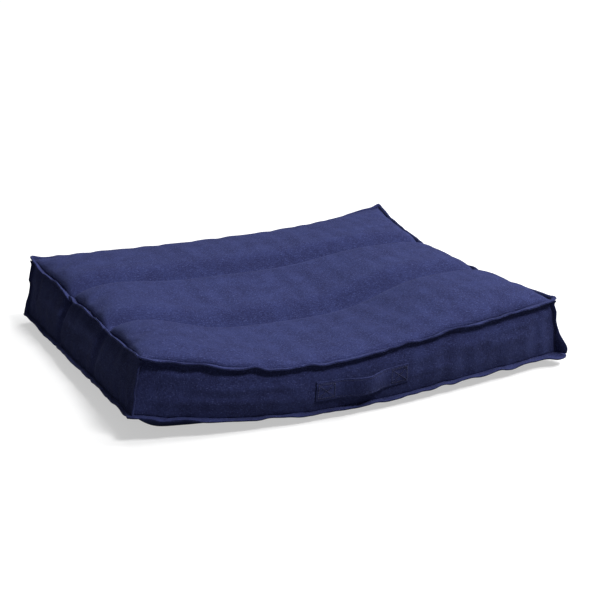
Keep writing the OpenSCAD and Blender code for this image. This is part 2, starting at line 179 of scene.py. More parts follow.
def denser_at_ends(n):
    t = np.linspace(-1, 1, n + 1)
    return t * (1.25 - 0.25 * t * t)


US, VS = denser_at_ends(NU), denser_at_ends(NV)


# ---- Meshes ----
def cells(rows, columns, ring=False, flip=False):
    """Quads over a grid of points, numbered row by row."""
    i, j = np.meshgrid(np.arange(rows if ring else rows - 1), np.arange(columns - 1), indexing="ij")
    a, b = i * columns + j, ((i + 1) % rows) * columns + j
    quads = np.stack([a, b, b + 1, a + 1], -1).reshape(-1, 4)
    return quads[:, ::-1] if flip else quads


def mesh_piece(name, points, faces, finish, slot, replaces=(), body="bed"):
    mesh = bpy.data.meshes.new(name)
    mesh.from_pydata(np.asarray(points).reshape(-1, 3).tolist(), [], [list(map(int, f)) for f in faces])
    mesh.shade_smooth()
    mesh.materials.append(finish)
    obj = bpy.data.objects.new(name, mesh)
    bpy.context.scene.collection.objects.link(obj)
    if body:
        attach(obj, body)
    if replaces:
        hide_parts(*replaces)
    return obj


def cloth_panel(name, grid, thickness, finish, slot, replaces=(), flip=False, levels=1, body="bed"):
    """A panel of cloth with its outer face on the grid."""
    rows, columns = grid.shape[:2]
    obj = mesh_piece(name, grid, cells(rows, columns, flip=flip), finish, slot, replaces, body)
    if levels:
        smooth = obj.modifiers.new("smooth", "SUBSURF")
        smooth.levels = smooth.render_levels = levels
        smooth.boundary_smooth = "PRESERVE_CORNERS"
    thick = obj.modifiers.new("thickness", "SOLIDIFY")
    thick.thickness, thick.offset = thickness, -1
    return obj


def swept(sections, ring=False):
    """Points and faces of a solid swept through closed outlines of the same number of points."""
    sections = np.asarray(sections)
    n, m = sections.shape[:2]
    s, p = np.meshgrid(np.arange(n if ring else n - 1), np.arange(m), indexing="ij")
    a, b = s * m + p, s * m + (p + 1) % m
    c, d = ((s + 1) % n) * m + (p + 1) % m, ((s + 1) % n) * m + p
    faces = np.stack([a, b, c, d], -1).reshape(-1, 4).tolist()
    if not ring:
        faces += [list(range(m))[::-1], list(range((n - 1) * m, n * m))]
    return sections.reshape(-1, 3), faces


def joined(parts):
    """Several (points, faces) as one."""
    points, faces, n = [], [], 0
    for p, f in parts:
        points.append(np.asarray(p))
        faces += [[n + i for i in face] for face in f]
        n += len(p)
    return np.concatenate(points), faces


def unit(v):
    v = np.asarray(v, float)
    return v / np.maximum(np.linalg.norm(v, axis=-1, keepdims=True), 1e-12)


def even(path, step, ring=False):
    """The same path with points an even step apart."""
    path = np.concatenate([path, path[:1]]) if ring else np.asarray(path)
    along = np.concatenate([[0], np.cumsum(np.linalg.norm(np.diff(path, axis=0), axis=1))])
    count = max(2, round(along[-1] / step))
    at = np.linspace(0, along[-1], count + 1)[: count if ring else count + 1]
    return np.stack([np.interp(at, along, path[:, k]) for k in range(3)], -1), at


def stitches(path, up, pitch, thread=0.0005, share=0.66):
    """Points and faces of a row of stitches that lie along a path, arched a little in their middles."""
    line, _ = even(path, pitch / 4)
    lift = unit(up)
    if lift.ndim == 2:
        at = np.linspace(0, len(lift) - 1, len(line))
        lift = unit(np.stack([np.interp(at, np.arange(len(lift)), lift[:, k]) for k in range(3)], -1))
    else:
        lift = np.tile(lift, (len(line), 1))
    count = (len(line) - 1) // 4
    t = np.linspace(-share / 2, share / 2, 4)
    turn = np.arange(5) * 2 * np.pi / 5
    start = np.arange(count) * 4
    a, b, h = line[start], line[start + 4], lift[start + 2]
    along = unit(b - a)
    across = unit(np.cross(along, h))
    points = []
    for k, arch, girth in zip(t, (-0.5, 0.55, 0.55, -0.5), (0.6, 1, 1, 0.6)):
        middle = a + (b - a) * (0.5 + k) + h * thread * arch
        ring = [middle + thread * girth * (math.cos(q) * across + math.sin(q) * h * 0.8) for q in turn]
        points.append(np.stack(ring, 1))
    points = np.stack(points, 1)
    faces = []
    for n in range(count):
        base = n * 20
        for r in range(3):
            for p in range(5):
                q = (p + 1) % 5
                faces.append([base + r * 5 + p, base + r * 5 + q, base + r * 5 + 5 + q, base + r * 5 + 5 + p])
        faces += [[base + p for p in range(5)][::-1], [base + 15 + p for p in range(5)]]
    return points.reshape(-1, 3), faces


# ---- Finishes ----
class Value:
    """A node's output. Sums and products of values add Math nodes."""

    def __init__(self, finish, socket):
        self.finish, self.socket = finish, socket

    def maths(self, operation, *terms):
        return self.finish.node("ShaderNodeMath", {"operation": operation}, list(terms))

    def __add__(self, other):
        return self.maths("ADD", self, other)

    __radd__ = __add__

    def __mul__(self, other):
        return self.maths("MULTIPLY", self, other)

    def __rsub__(self, other):
        return self.maths("SUBTRACT", other, self)


class Finish:
    """One material, with its nodes."""

    def __init__(self, name, **constants):
        self.material = bpy.data.materials.new(name)
        self.material.use_nodes = True
        self.tree = self.material.node_tree
        self.shader = self.tree.nodes["Principled BSDF"]
        for socket, value in constants.items():
            self.shader.inputs[socket.replace("_", " ")].default_value = value

    def node(self, kind, settings=None, sockets=(), output=0):
        """Adds a node: its settings first, then the values or links of its sockets."""
        node = self.tree.nodes.new(kind)
        for key, value in (settings or {}).items():
            if key == "stops":
                for stop in value[2:]:
                    node.color_ramp.elements.new(stop[0])
                for element, (place, colour) in zip(node.color_ramp.elements, value):
                    element.position, element.color = place, (*colour, 1)
            else:
                setattr(node, key, value)
        named = sockets if isinstance(sockets, dict) else dict(enumerate(sockets))
        for key, value in named.items():
            if isinstance(value, Value):
                self.tree.links.new(value.socket, node.inputs[key])
            else:
                node.inputs[key].default_value = value
        return Value(self, node.outputs[output])

    def place(self, scale=(1, 1, 1)):
        """The object's own coordinates, stretched by a scale for each axis."""
        where = self.node("ShaderNodeTexCoord", output="Object")
        return self.node("ShaderNodeVectorMath", {"operation": "MULTIPLY"}, [where, scale])

    def noise(self, scale, detail=2.0, rough=0.5):
        """Noise with about so many humps a metre along each axis."""
        sockets = {"Vector": self.place(scale), "Scale": 1.0, "Detail": detail, "Roughness": rough}
        return self.node("ShaderNodeTexNoise", {}, sockets)

    def ramp(self, value, low, high):
        """0 below low, 1 above high."""
        sockets = {"Value": value, "From Min": low, "From Max": high}
        return self.node("ShaderNodeMapRange", {"interpolation_type": "SMOOTHSTEP"}, sockets)

    def mix(self, share, a, b):
        """A colour from a to b by the share."""
        return self.node("ShaderNodeMix", {"data_type": "RGBA"}, {0: share, 6: a, 7: b}, output=2)

    def colour(self, value):
        self.tree.links.new(value.socket, self.shader.inputs["Base Color"])

    def roughness(self, value):
        self.tree.links.new(value.socket, self.shader.inputs["Roughness"])

    def glow(self, value):
        self.tree.links.new(value.socket, self.shader.inputs["Emission Color"])
        self.shader.inputs["Emission Strength"].default_value = 1.0

    def relief(self, *layers):
        """Bump nodes one over the other, each given as (height, how deep in metres)."""
        normal = None
        for height, depth in layers:
            sockets = {"Height": height, "Distance": depth, "Strength": 1.0}
            if normal:
                sockets["Normal"] = normal
            normal = self.node("ShaderNodeBump", {}, sockets)
        self.tree.links.new(normal.socket, self.shader.inputs["Normal"])
        return self


def grain(axis, along, over):
    """Humps a metre for noise that runs in streaks along an axis."""
    return tuple(along if k == axis else over for k in range(3))


def woven_cloth(name, warp, weft, deep, mid, light):
    """Melange woven canvas: two sets of slubby threads at right angles, some dyed darker and some paler."""
    f = Finish(
        name, Sheen_Weight=0.06, Sheen_Roughness=0.5, Sheen_Tint=(0.35, 0.45, 1, 1), Specular_IOR_Level=0.14
    )
    warp_slub = f.noise(grain(warp, 150, 620), 1.5)
    weft_slub = f.noise(grain(weft, 150, 620), 1.5)
    heather = f.ramp(warp_slub + weft_slub, 0.86, 1.18)
    fleck = f.ramp(f.noise(grain(warp, 230, 900), 1.0) * f.noise(grain(weft, 230, 900), 1.0), 0.30, 0.44)
    patch = f.ramp(f.noise((22, 22, 22), 3.0, 0.6), 0.32, 0.7)
    body = f.mix(heather * 0.6 + patch * 0.4, (*deep, 1), (*mid, 1))
    f.colour(f.mix(fleck * 0.65, body, (*light, 1)))
    f.roughness(0.96 - fleck * 0.1)
    ribs = [
        f.node("ShaderNodeTexWave", {"wave_type": "BANDS", "bands_direction": "XYZ"[axis]},
               {"Vector": f.place(), "Scale": 150.0, "Distortion": 1.2, "Detail": 1.0, "Detail Scale": 2.0})
        for axis in (warp, weft)
    ]
    folds = f.noise((45, 45, 45), 3.0)
    return f.relief((folds, 0.0009), (warp_slub + weft_slub, 0.0006), (ribs[0] * ribs[1], 0.0003)).material


NAVY = ((0.013, 0.015, 0.058), (0.025, 0.032, 0.108), (0.075, 0.092, 0.240))


def sewing_thread():
    f = Finish("sewing_thread", Specular_IOR_Level=0.35)
    twist = f.noise((900, 900, 900), 1.0)
    f.colour(f.mix(f.ramp(twist, 0.35, 0.65), (0.012, 0.013, 0.045, 1), (0.04, 0.045, 0.12, 1)))
    f.roughness(0.75 - twist * 0.2)
    return f.relief((twist, 0.0002)).material


def lining_cotton():
    f = Finish("lining_cotton", Sheen_Weight=0.1, Specular_IOR_Level=0.2)
    slub = f.noise(grain(0, 90, 420), 2.0) + f.noise(grain(1, 90, 420), 2.0)
    f.colour(f.mix(f.ramp(slub, 0.8, 1.25), (0.60, 0.58, 0.53, 1), (0.78, 0.76, 0.71, 1)))
    f.roughness(0.95 - f.noise((60, 60, 60)) * 0.1)
    return f.relief((slub, 0.0006)).material


def fibre_wadding():
    f = Finish("fibre_wadding", Sheen_Weight=0.4, Specular_IOR_Level=0.1)
    tuft = f.noise((120, 120, 120), 6.0, 0.7)
    f.colour(f.mix(f.ramp(tuft, 0.3, 0.7), (0.72, 0.72, 0.71, 1), (0.93, 0.93, 0.92, 1)))
    f.roughness(1.0 - tuft * 0.1)
    return f.relief((tuft, 0.003)).material


def zip_tape_cloth():
    f = Finish("zip_tape_cloth", Sheen_Weight=0.15, Specular_IOR_Level=0.25)
    rib = f.node("ShaderNodeTexWave", {"wave_type": "BANDS", "bands_direction": "DIAGONAL"},
                 {"Vector": f.place(), "Scale": 190.0, "Distortion": 0.4})
    thread = f.noise(grain(0, 200, 1200), 1.0)
    f.colour(f.mix(f.ramp(thread + rib * 0.4, 0.4, 0.95), (0.008, 0.009, 0.03, 1), (0.024, 0.027, 0.075, 1)))
    f.roughness(0.92 - thread * 0.1)
    return f.relief((rib, 0.0003)).material


def nylon_coil():
    f = Finish("nylon_coil", Specular_IOR_Level=0.5)
    wear = f.ramp(f.noise((300, 300, 300), 2.0), 0.4, 0.75)
    f.colour(f.mix(wear, (0.008, 0.009, 0.026, 1), (0.03, 0.034, 0.085, 1)))
    f.roughness(0.35 + wear * 0.25)
    return f.relief((wear, 0.0001)).material


def brushed_metal():
    f = Finish("brushed_metal", Metallic=1.0, Specular_IOR_Level=0.5)
    brush = f.noise(grain(0, 300, 3500), 2.0)
    rubbed = f.ramp(f.noise((160, 160, 160), 3.0), 0.45, 0.7)
    f.colour(f.mix(rubbed, (0.30, 0.30, 0.32, 1), (0.48, 0.48, 0.50, 1)))
    f.roughness(0.28 + brush * 0.22)
    return f.relief((brush, 0.00004)).material


TOP_CLOTH = woven_cloth("cover_cloth_top", 0, 1, *NAVY)
FRONT_CLOTH = woven_cloth("cover_cloth_front", 0, 2, *NAVY)
SIDE_CLOTH = woven_cloth("cover_cloth_side", 1, 2, *NAVY)
THREAD = sewing_thread()
LINING = lining_cotton()
FIBRE = fibre_wadding()
TAPE = zip_tape_cloth()
COIL = nylon_coil()
METAL = brushed_metal()


# ---- Cover ----
def cover_lattice():
    """The cover's corner points as a box of i, j, k steps, with its outside numbered."""
    i, j, k = np.meshgrid(np.arange(NU + 1), np.arange(NV + 1), np.arange(NW + 1), indexing="ij")
    outside = (i % NU == 0) | (j % NV == 0) | (k % NW == 0)
    number = np.full(outside.shape, -1)
    number[outside] = np.arange(outside.sum())
    u, v, w = US[i[outside]], VS[j[outside]], k[outside] / NW
    # Rows of the back follow the zip's opening, and spread out evenly again towards the corners
    low, high = bottom_z(u, 1.0), top_z(u, 1.0)
    opening = [(ZIP_Z + s * SLOT_H / 2 - low) / (high - low) for s in (-1, 1)]
    even_rows = (ZIP_LOW / NW, ZIP_HIGH / NW)
    hold = np.clip((0.97 - np.abs(u)) / 0.12, 0, 1)
    a, b = (e + (o - e) * hold for o, e in zip(opening, even_rows))
    step = w * NW
    row = np.where(
        step <= ZIP_LOW, a * step / ZIP_LOW,
        np.where(step <= ZIP_HIGH, a + (b - a) * (step - ZIP_LOW) / (ZIP_HIGH - ZIP_LOW),
                 b + (1 - b) * (step - ZIP_HIGH) / (NW - ZIP_HIGH)),
    )
    w = np.where(v == 1, row, w)
    points = settled(u, v, w)
    # The sides tuck in under their upper seams
    tuck = TUCK * bump(w, 1 - 1.2 / NW, 0.8 / NW)
    points[:, 0] -= np.sign(u) * np.abs(u) ** 60 * tuck
    points[:, 1] -= np.sign(v) * np.abs(v) ** 60 * tuck * (v < 0)
    # The seams wander a little, as hand-guided sewing does
    edge = np.maximum(np.abs(u) ** 16, np.abs(v) ** 16)
    for share, seed, height in ((w**3, 11, 0.0030), ((1 - w) ** 3, 17, 0.0018)):
        for axis, amount in ((0, 0.0014), (1, 0.0014), (2, height)):
            wander = lumps(points[:, 0] + 3, points[:, 1] + 3, 0.027, seed + axis)
            points[:, axis] += amount * edge * share * wander
    return points, number, (u, v, w, i[outside], j[outside], k[outside])


def lattice_faces(number):
    sides = [
        (number[:, :, -1], False), (number[:, :, 0], True), (number[:, 0, :], False),
        (number[:, -1, :], True), (number[-1, :, :], False), (number[0, :, :], True),
    ]
    faces = []
    for ids, flip in sides:
        faces.append(ids.reshape(-1)[cells(*ids.shape, flip=flip)])
    return np.concatenate(faces)


def filled_cover(points, number, steps):
    """Lets the fill's pressure and the cloth's slack settle the cover between its sewn lines."""
    _, v, _, i, j, k = steps
    seam = ((i % NU == 0).astype(int) + (j % NV == 0) + (k % NW == 0)) > 1
    zip_rows = (j == NV) & (k >= ZIP_LOW) & (k <= ZIP_HIGH)
    from_handle = np.abs(points[:, 0] - HANDLE_X)
    sewn_ends = (j == 0) & (np.abs(from_handle - (HANDLE_L - SEWN_L) / 2) < SEWN_L / 2 + 0.004)
    hold = np.full(len(points), 0.3)
    hold[k == NW] = 0.3 + 0.5 * bump(np.abs(v[k == NW]), WALL_V, 0.08)
    hold[(j == 0) & (from_handle < HANDLE_L / 2)] = 0.6
    hold[seam | zip_rows | sewn_ends | (k == 0)] = 1

    mesh = bpy.data.meshes.new("cover_to_fill")
    mesh.from_pydata(points.tolist(), [], lattice_faces(number).tolist())
    obj = bpy.data.objects.new("cover_to_fill", mesh)
    bpy.context.scene.collection.objects.link(obj)
    normals = np.zeros(len(points) * 3)
    mesh.vertex_normals.foreach_get("vector", normals)
    normals = normals.reshape(-1, 3)
    held = obj.vertex_groups.new(name="held")
    for level in np.unique(hold.round(2)):
        held.add(np.flatnonzero(hold.round(2) == level).tolist(), float(level), "REPLACE")

    cloth = obj.modifiers.new("cloth", "CLOTH")
    s = cloth.settings
    s.quality = 5
    s.mass = 0.15
    s.tension_stiffness = s.compression_stiffness = 20
    s.shear_stiffness = 8
    s.bending_stiffness = 15
    s.tension_damping = s.compression_damping = s.shear_damping = 8
    s.use_pressure = True
    s.uniform_pressure_force = 2.5
    s.effector_weights.gravity = 0
    s.vertex_group_mass = "held"
    s.pin_stiffness = 1
    s.shrink_min = -0.006
    cloth.point_cache.frame_start, cloth.point_cache.frame_end = 1, 20
    scene = bpy.context.scene
    for step in range(1, 21):
        scene.frame_set(step)
    shaped = obj.evaluated_get(bpy.context.evaluated_depsgraph_get()).data
    moved = np.zeros(len(points) * 3)
    shaped.vertices.foreach_get("co", moved)
    move = moved.reshape(-1, 3) - points
    scene.frame_set(1)
    bpy.data.objects.remove(obj)
    bpy.data.meshes.remove(mesh)

    # It may stand out further than it may sink towards the insert
    out = (move * normals).sum(1, keepdims=True)
    slide = move - out * normals
    slide *= np.minimum(1, SLIDE_MOST / np.maximum(np.linalg.norm(slide, axis=1, keepdims=True), 1e-9))
    return points + np.clip(out, -SINK_MOST, SWELL_MOST) * normals + slide


def cover_panels(points, number):
    def part(ids):
        return points[ids]

    cloth = "cover_cloth"
    top = cloth_panel("cover_top", part(number[:, :, -1]), COVER_T, TOP_CLOTH, cloth, ["top_panel"])
    bottom = part(number[::2, ::2, 0])
    cloth_panel("cover_bottom", bottom, COVER_T, TOP_CLOTH, cloth, ["bottom_panel"], flip=True)
    for name, ids, finish, node, flip in (
        ("cover_front", number[:, 0, :], FRONT_CLOTH, "front_gusset", False),
        ("cover_left", number[0, :, :], SIDE_CLOTH, "left_gusset", True),
        ("cover_right", number[-1, :, :], SIDE_CLOTH, "right_gusset", False),
    ):
        cloth_panel(name, part(ids), COVER_T, finish, cloth, [node], flip=flip)
    back = number[:, -1, :]
    inside = np.flatnonzero(np.abs(US) * BED_W / 2 < ZIP_L / 2 + 0.002)
    a, b = inside[0], inside[-1]
    for name, ids, node in (
        ("cover_back_upper", back[a : b + 1, ZIP_HIGH:], "back_gusset_upper"),
        ("cover_back_lower", back[a : b + 1, : ZIP_LOW + 1], "back_gusset_lower"),
        ("cover_back_left_end", back[: a + 1, :], "back_gusset_left_end"),
        ("cover_back_right_end", back[b:, :], "back_gusset_right_end"),
    ):
        cloth_panel(name, part(ids), COVER_T, FRONT_CLOTH, cloth, [node], flip=True)


def flange_outline(length, half=0.0019):
    """Half of a flange's cross-section, from its root to its tip: how far out, and how far off its middle."""
    return [
        (-0.003, 0.4 * half), (0.0004, 0.7 * half), (0.0016, 0.2 * half), (0.0026, 0.3 * half),
        (0.0038, half), (length - 0.0014, half), (length - 0.0003, 0.75 * half), (length, 0.4 * half),
    ]


def flange(path, outward, angle, length, seed, ring):
    """A standing seam of two layers: its points and faces, and the line and rise of its stitches."""
    s = np.concatenate([[0], np.cumsum(np.linalg.norm(np.diff(path, axis=0), axis=1))])
    lean = angle + math.radians(13) * drift(s, 0.026, seed) + math.radians(7) * drift(s, 0.1, seed + 1)
    reach = length + 0.0008 * drift(s, 0.05, seed + 2)
    up = np.array([0, 0, 1.0])
    d = outward * np.cos(lean)[:, None] + up * np.sin(lean)[:, None]
    m = -outward * np.sin(lean)[:, None] + up * np.cos(lean)[:, None]
    pucker = 0.0011 * drift(s, 0.021, seed + 3)
    sections = []
    for n in range(len(path)):
        half = flange_outline(reach[n])
        outline = half + [(reach[n] - 0.0009, 0.0)] + [(a, -b) for a, b in half[::-1]]
        curl = [pucker[n] * max(0, a / reach[n]) ** 2 for a, _ in outline]
        sections.append([path[n] + a * d[n] + (b + c) * m[n] for (a, b), c in zip(outline, curl)])
    points, faces = swept(sections, ring)
    return points, faces, path + 0.0021 * d + 0.0006 * m, m


def seam_flange(name, points, number, k, angles, finish, node, seed, ears=()):
    """A flange all round the bed at the upper or the lower seam."""
    ring = np.concatenate([number[:-1, 0, k], number[-1, :-1, k], number[:0:-1, -1, k], number[0, :0:-1, k]])
    path, _ = even(points[ring], FLANGE_STEP, ring=True)
    ahead = unit(np.roll(path, -3, 0) - np.roll(path, 3, 0))
    outward = unit(np.stack([ahead[:, 1], -ahead[:, 0], 0 * ahead[:, 0]], -1))
    # The angle above level changes from side to side
    left, front, right, back = angles
    share = np.stack([np.clip(-outward[:, 0], 0, 1), np.clip(-outward[:, 1], 0, 1),
                      np.clip(outward[:, 0], 0, 1), np.clip(outward[:, 1], 0, 1)], -1) ** 2
    angle = np.radians(share @ np.array([left, front, right, back], float))
    mitre = 1 + 0.35 * np.clip(np.prod(np.abs(outward[:, :2]), axis=1) * 2, 0, 1)
    length = FLANGE_H * mitre
    for (x, y), extra, width in ears:
        length = length + extra * np.exp(-((path[:, 0] - x) ** 2 + (path[:, 1] - y) ** 2) / width**2)
    p, f, line, rise = flange(path, outward, angle, length, seed, ring=True)
    mesh_piece(name, p, f, finish, "flange_cloth", [node])
    mesh_piece(name + "_stitching", *stitches(line, rise, 0.0042), THREAD, "thread")


def corner_flange(corner_name, points, number, i, j, seed, length, flare):
    """The upright flange on a corner seam."""
    path, _ = even(points[number[i, j, :]], FLANGE_STEP)
    su, sv = (1 if i else -1), (1 if j else -1)
    diagonal = unit(np.array([su, sv, 0.0]))
    side = np.array([-diagonal[1], diagonal[0], 0.0])
    s = np.linspace(0, 1, len(path))
    reach = length * (1 - 0.35 * np.sin(np.pi * s)) + 0.0006 * drift(path[:, 2], 0.03, seed)
    reach = reach + flare * bump(s, 0.12, 0.22)
    sections = []
    for n in range(len(path)):
        half = flange_outline(reach[n], 0.0015)
        outline = half + [(reach[n] - 0.0009, 0.0)] + [(a, -b) for a, b in half[::-1]]
        bend = 0.0014 * drift(path[n, 2], 0.035, seed + 1)
        sections.append([
            path[n] + a * diagonal + (b + bend * max(0, a / reach[n])) * side for a, b in outline
        ])
    name = f"{corner_name}_corner_flange"
    mesh_piece(name, *swept(sections), FRONT_CLOTH, "flange_cloth", [f"corner_flange_{corner_name}"])
    line = path + 0.0021 * diagonal
    rows = [stitches(line + q * 0.0006 * side, q * side, 0.0042) for q in (-1, 1)]
    mesh_piece(name + "_stitching", *joined(rows), THREAD, "thread")


# ---- Handle ----
def handle_point(along, across, off):
    """A point of the webbing, from its middle along its length and across its width, off the front panel."""
    u = (HANDLE_X + np.asarray(along, float)) / (BED_W / 2)
    height = top_z(u, -1.0) - bottom_z(u, -1.0)
    p = settled(u, -1.0, HANDLE_W_MID + across / height, (0, 0, COVER_T))
    p[..., 1] -= off
    return p


def looseness(along):
    """1 at the middle of the strap, 0 where it is sewn down."""
    return np.where(np.abs(along) < LOOSE_L / 2, np.cos(np.pi * np.asarray(along) / LOOSE_L) ** 2, 0)


def stand_off(along):
    return HANDLE_GAP + (HANDLE_OFF - HANDLE_GAP) * looseness(along)


def handle_half(side):
    """Half of the strap, from its sewn end to its middle."""
    name = "left" if side < 0 else "right"
    along = np.linspace(side * HANDLE_L / 2, 0, 46)[:, None]
    across = np.linspace(-HANDLE_W / 2, HANDLE_W / 2, 17)[None, :]
    edge = np.abs(across) / (HANDLE_W / 2)
    # Folded edges, so the rims are a little thicker than the sunk rows of stitches
    surface = 0.0006 * bump(edge, 0.93, 0.07) - 0.0007 * bump(edge, 0.80, 0.06)
    # Its upper edge falls a little further away from the side than its lower edge
    off = stand_off(along) + HANDLE_T + surface + STRAP_LEAN * across * looseness(along)
    off = off + 0.0004 * lumps(along + 3, across + 3, 0.018, 23)
    grid = handle_point(along + 0 * across, across + 0 * along, off)
    nodes = ["handle_left_end" if side < 0 else "handle_right_end", "handle_grip"]
    strap = cloth_panel(
        f"handle_{name}_half", grid, HANDLE_T, FRONT_CLOTH, "handle_cloth", nodes, flip=side > 0, body=None
    )

    rows = []
    lift = np.array([0, -1.0, 0])
    top = HANDLE_T + 0.0002
    for q in (-1, 1):
        a = np.linspace(side * HANDLE_L / 2, 0, 60)
        b = q * EDGE_STITCH + 0 * a
        line = handle_point(a, b, stand_off(a) + top + STRAP_LEAN * b * looseness(a) - 0.0005)
        rows.append(stitches(line, lift, 0.0036, 0.0007))
    edging = mesh_piece(f"handle_{name}_edge_stitching", *joined(rows), THREAD, "thread", body=None)
    start = handle_point(side * LOOSE_L / 2, 0.0, 0.0)
    end = handle_point(side * 0.004, 0.0, 0.0)
    end[1:] = start[1:]
    for o in (strap, edging):
        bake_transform(o)

    box = []
    x0, x1, half = side * (LOOSE_L / 2 + 0.004), side * (HANDLE_L / 2 - 0.004), HANDLE_W / 2 - 0.006
    ends = [(x0, -half), (x1, -half), (x1, half), (x0, half)]
    for a, b in [(0, 1), (1, 2), (2, 3), (3, 0), (0, 2), (1, 3)]:
        t = np.linspace(0, 1, 12)
        x, z = (ends[a][n] + (ends[b][n] - ends[a][n]) * t for n in (0, 1))
        box.append(stitches(handle_point(x, z, HANDLE_GAP + top), lift, 0.0034, 0.0009, 0.78))
    mesh_piece(f"handle_{name}_box_stitching", *joined(box), THREAD, "thread", [f"handle_{name}_stitching"])


# ---- Zip ----
def zip_row(side):
    """The turns of one side of the coil, as ribs across it."""
    outline = [(-0.45, 0.0), (-0.45, 0.6), (-0.25, 0.95), (0.25, 0.95), (0.45, 0.6), (0.45, 0.0)]
    z0, z1 = ROW_GAP / 2 - 0.00025, ROW_GAP / 2 + ROW_H
    levels = [(z0, 0.7), (z0 + 0.0003, 1), (z1 - 0.0004, 1), (z1, 0.6)]
    parts = []
    half = ZIP_L / 2 - 0.0075
    tape_y = BACK_Y - COVER_T
    for x in np.arange(-half, half, TOOTH_PITCH) + 0.5 * TOOTH_PITCH * (side > 0):
        sections = [
            [(x + a * TOOTH_PITCH * g, tape_y + b * ROW_T * g, ZIP_Z + side * z) for a, b in outline]
            for z, g in levels
        ]
        parts.append(swept(sections if side < 0 else [s[::-1] for s in sections]))
    name = "upper" if side > 0 else "lower"
    mesh_piece(f"zip_{name}_coil", *joined(parts), COIL, "zip_teeth", [f"zip_{name}_teeth"])


def bevelled(obj, width, segments=2):
    rim = obj.modifiers.new("bevel", "BEVEL")
    rim.width, rim.segments, rim.limit_method = width, segments, "ANGLE"
    return obj


def plate(outline, y0, y1):
    """A flat plate cut to an outline of x and z."""
    return swept([[(x, y, z) for x, z in outline] for y in (y0, y1)])


def zip_slider():
    """Two shield-shaped plates with a post and lips between them, and a bridge that holds the pull's pin."""
    tape_y = BACK_Y - COVER_T
    outer, inner = tape_y + ROW_T + 0.0004, tape_y - 0.0008 - 0.0004 - 0.0011
    half_w, half_l = 0.0042, 0.007
    edge = [(-1, 0.6), (-0.6, 1), (0.65, 1), (1, 0.72)]
    shield = [(a, -b) for a, b in edge] + edge[::-1]
    shield = [(SLIDER_X + a * half_l, ZIP_Z + b * half_w) for a, b in shield]
    parts = [plate(shield, outer, outer + 0.0011), plate(shield, inner, inner + 0.0011)]
    for q in (-1, 1):
        lip = [(-half_l * 0.6, q * half_w), (half_l * 0.62, q * half_w),
               (half_l * 0.62, q * (half_w - 0.001)), (-half_l * 0.6, q * (half_w - 0.001))]
        lip = [(SLIDER_X + x, ZIP_Z + z) for x, z in lip]
        parts.append(plate(lip[::q], tape_y + 0.0004, outer + 0.0004))
    post = [(0.0052, -0.0003), (0.0068, -0.0003), (0.0068, 0.0003), (0.0052, 0.0003)]
    parts.append(plate([(SLIDER_X + x, ZIP_Z + z) for x, z in post], inner, outer + 0.0011))
    for q in (-1, 1):
        z0 = ZIP_Z + q * 0.00485
        turn = np.linspace(0, np.pi, 9)
        ear = [(0.0018 * math.cos(t), PIVOT_Y + 0.0018 * math.sin(t)) for t in turn]
        ear = [(0.0022, outer + 0.0005), *ear, (-0.0022, outer + 0.0005)]
        sections = [[(SLIDER_X + x, y, z0 + dz) for x, y in ear] for dz in (-0.0005, 0.0005)]
        parts.append(swept([s[::-1] for s in sections]))
    turn = np.arange(12) * np.pi / 6
    round_pin = [(SLIDER_X + 0.0008 * math.cos(t), PIVOT_Y + 0.0008 * math.sin(t)) for t in turn]
    pin = [[(x, y, ZIP_Z + z) for x, y in round_pin] for z in (-0.0049, 0.0049)]
    parts.append(swept([s[::-1] for s in pin]))
    body = mesh_piece("zip_slider_body", *joined(parts), METAL, "zip_metal", ["zip_slider"], "slider")
    bevelled(body, 0.0002)


def zip_pull():
    """A flat tab with a slotted eye, on its own knuckle."""
    length, half, t = 0.030, 0.004, 0.0007

    def loop(inset, end):
        turn = np.linspace(-np.pi / 2, np.pi / 2, 13)
        r = half - inset
        tip = [(length - half + r * math.cos(a), r * math.sin(a)) for a in turn]
        return [(end, -r * 0.82), (end + 0.008, -r * 0.74)] + tip + [(end + 0.008, r * 0.74), (end, r * 0.82)]

    rim, eye = loop(0, 0.0012), loop(0.0018, 0.0135)
    sections = [
        [(SLIDER_X + x, PIVOT_Y + y, ZIP_Z + z) for x, z in outline]
        for outline, y in ((rim, -t), (rim, t), (eye, t), (eye, -t))
    ]
    ring_points, ring_faces = swept(sections, ring=True)
    turn = np.arange(16) * np.pi / 8
    rounds = [(0.0018, -0.004), (0.0018, 0.004), (0.00087, 0.004), (0.00087, -0.004)]
    knuckle = [
        [(SLIDER_X + r * math.cos(a), PIVOT_Y + r * math.sin(a), ZIP_Z + z) for a in turn] for r, z in rounds
    ]
    points, faces = joined([(ring_points, ring_faces), swept(knuckle, ring=True)])
    tab = mesh_piece("zip_pull_tab", points, faces, METAL, "zip_metal", ["zip_pull"], "pull")
    bevelled(tab, 0.0002)


